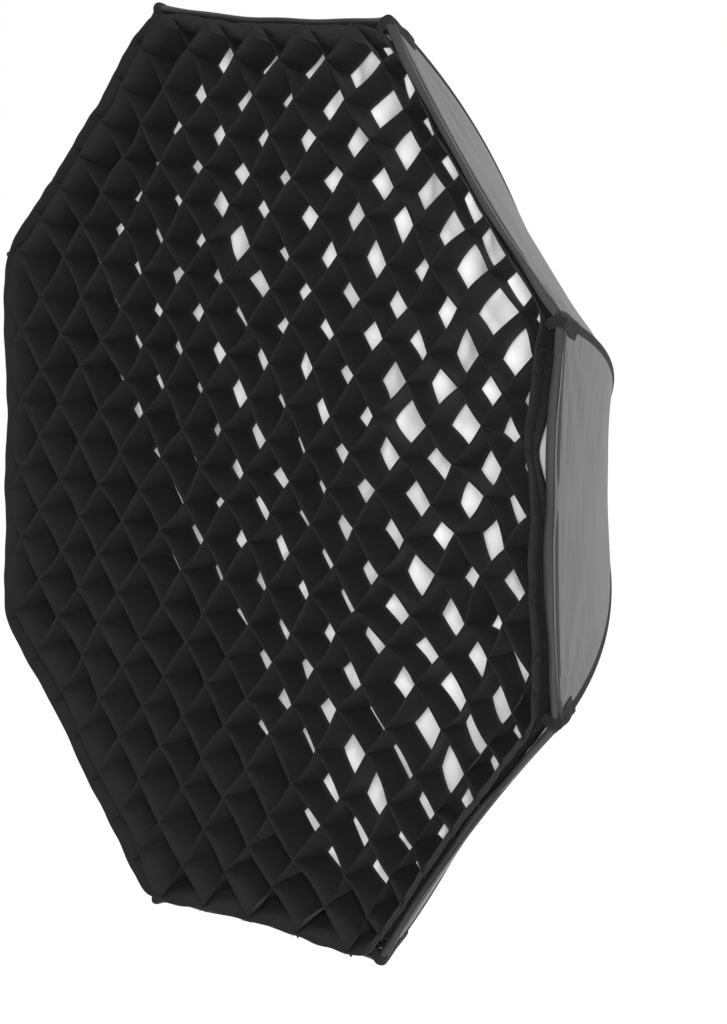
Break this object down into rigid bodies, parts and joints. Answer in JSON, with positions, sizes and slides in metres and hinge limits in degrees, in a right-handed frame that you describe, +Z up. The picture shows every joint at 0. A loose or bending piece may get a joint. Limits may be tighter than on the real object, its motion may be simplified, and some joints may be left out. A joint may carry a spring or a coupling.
{
  "type": "studio softbox",
  "caption": "Octagonal photographic softbox: black fabric canopy on bent rods, white diffuser, egg-crate fabric grid and a bayonet speed ring for a flash head.",
  "frame": {"origin": "centre of the bayonet insert's seating face, on the axis of its bore", "axes": "+Z up, +Y towards the flash head (the way it leaves the insert), -Y the way the light goes, +X to the right of someone facing the diffuser"},
  "size_m": [0.9058, 0.388, 0.9058],
  "materials": {
    "canopy_nylon": "black nylon outside, white lining inside",
    "lip_nylon": "black nylon, double layer",
    "webbing": "black woven tape",
    "loop_tape": "black loop tape",
    "hook_tape": "black hook tape",
    "grid_cloth": "black double-layer polyester",
    "diffuser_cloth": "white translucent nylon",
    "baffle_cloth": "white translucent nylon",
    "elastic": "white elastic",
    "rod_steel": "spring steel",
    "screw_steel": "zinc plated",
    "insert_steel": "satin plated steel",
    "ring_paint": "black powder coat",
    "black_plastic": "moulded black",
    "rubber_cap": "moulded rubber",
    "pad_nylon": "natural nylon"
  },
  "bodies": {
    "flash_insert": {"bayonet_insert": "insert_steel", "insert_retaining_ring": "ring_paint", "retainer_screws": "screw_steel"},
    "softbox": {"baffle_clips": "black_plastic", "baffle_hem": "webbing", "baffle_straps": "elastic", "canopy_gore_1": "canopy_nylon", "canopy_gore_2": "canopy_nylon", "canopy_gore_3": "canopy_nylon", "canopy_gore_4": "canopy_nylon", "canopy_gore_5": "canopy_nylon", "canopy_gore_6": "canopy_nylon", "canopy_gore_7": "canopy_nylon", "canopy_gore_8": "canopy_nylon", "corner_pocket_1": "webbing", "corner_pocket_2": "webbing", "corner_pocket_3": "webbing", "corner_pocket_4": "webbing", "corner_pocket_5": "webbing", "corner_pocket_6": "webbing", "corner_pocket_7": "webbing", "corner_pocket_8": "webbing", "diffuser_loop_tape": "loop_tape", "front_lip": "lip_nylon", "grid_loop_tape": "loop_tape", "inner_baffle": "baffle_cloth", "rear_binding": "webbing", "ridge_tape_1": "webbing", "ridge_tape_2": "webbing", "ridge_tape_3": "webbing", "ridge_tape_4": "webbing", "ridge_tape_5": "webbing", "ridge_tape_6": "webbing", "ridge_tape_7": "webbing", "ridge_tape_8": "webbing", "ring_tabs": "canopy_nylon", "rod_1": "rod_steel", "rod_2": "rod_steel", "rod_3": "rod_steel", "rod_4": "rod_steel", "rod_5": "rod_steel", "rod_6": "rod_steel", "rod_7": "rod_steel", "rod_8": "rod_steel", "rod_ferrules": "screw_steel", "rod_keepers": "webbing", "rod_sockets": "ring_paint", "rod_tip_caps": "rubber_cap", "socket_screws": "screw_steel", "speed_ring": "ring_paint", "tab_snaps": "screw_steel"},
    "brake_pad": {"brake_pad": "pad_nylon"},
    "lock_screw": {"lock_screw": "screw_steel", "lock_knob": "black_plastic"},
    "diffuser": {"diffuser_panel": "diffuser_cloth", "diffuser_hook_tape": "hook_tape"},
    "grid": {"grid_cells": "grid_cloth", "grid_hem": "grid_cloth", "grid_hook_tape": "hook_tape"}
  },
  "joints": [
    {"name": "softbox_turn", "type": "hinge", "parent": "flash_insert", "child": "softbox", "pos_m": [0, 0, 0], "axis": [0, 1, 0], "continuous": true},
    {"name": "lock_travel", "type": "slide", "parent": "softbox", "child": "brake_pad", "axis": [0, 0, 1], "range_m": [0, 0.002]},
    {"name": "lock_turn", "type": "hinge", "parent": "brake_pad", "child": "lock_screw", "pos_m": [0, -0.015, 0.08], "axis": [0, 0, 1], "range_deg": [0, 720]},
    {"name": "diffuser_pull", "type": "slide", "parent": "softbox", "child": "diffuser", "axis": [0, -1, 0], "range_m": [0, 0.12]},
    {"name": "grid_pull", "type": "slide", "parent": "diffuser", "child": "grid", "axis": [0, -1, 0], "range_m": [0, 0.12]}
  ],
  "couplings": [
    {"joint": "lock_turn", "follows": "lock_travel", "rad_per_m": 6283.2}
  ]
}
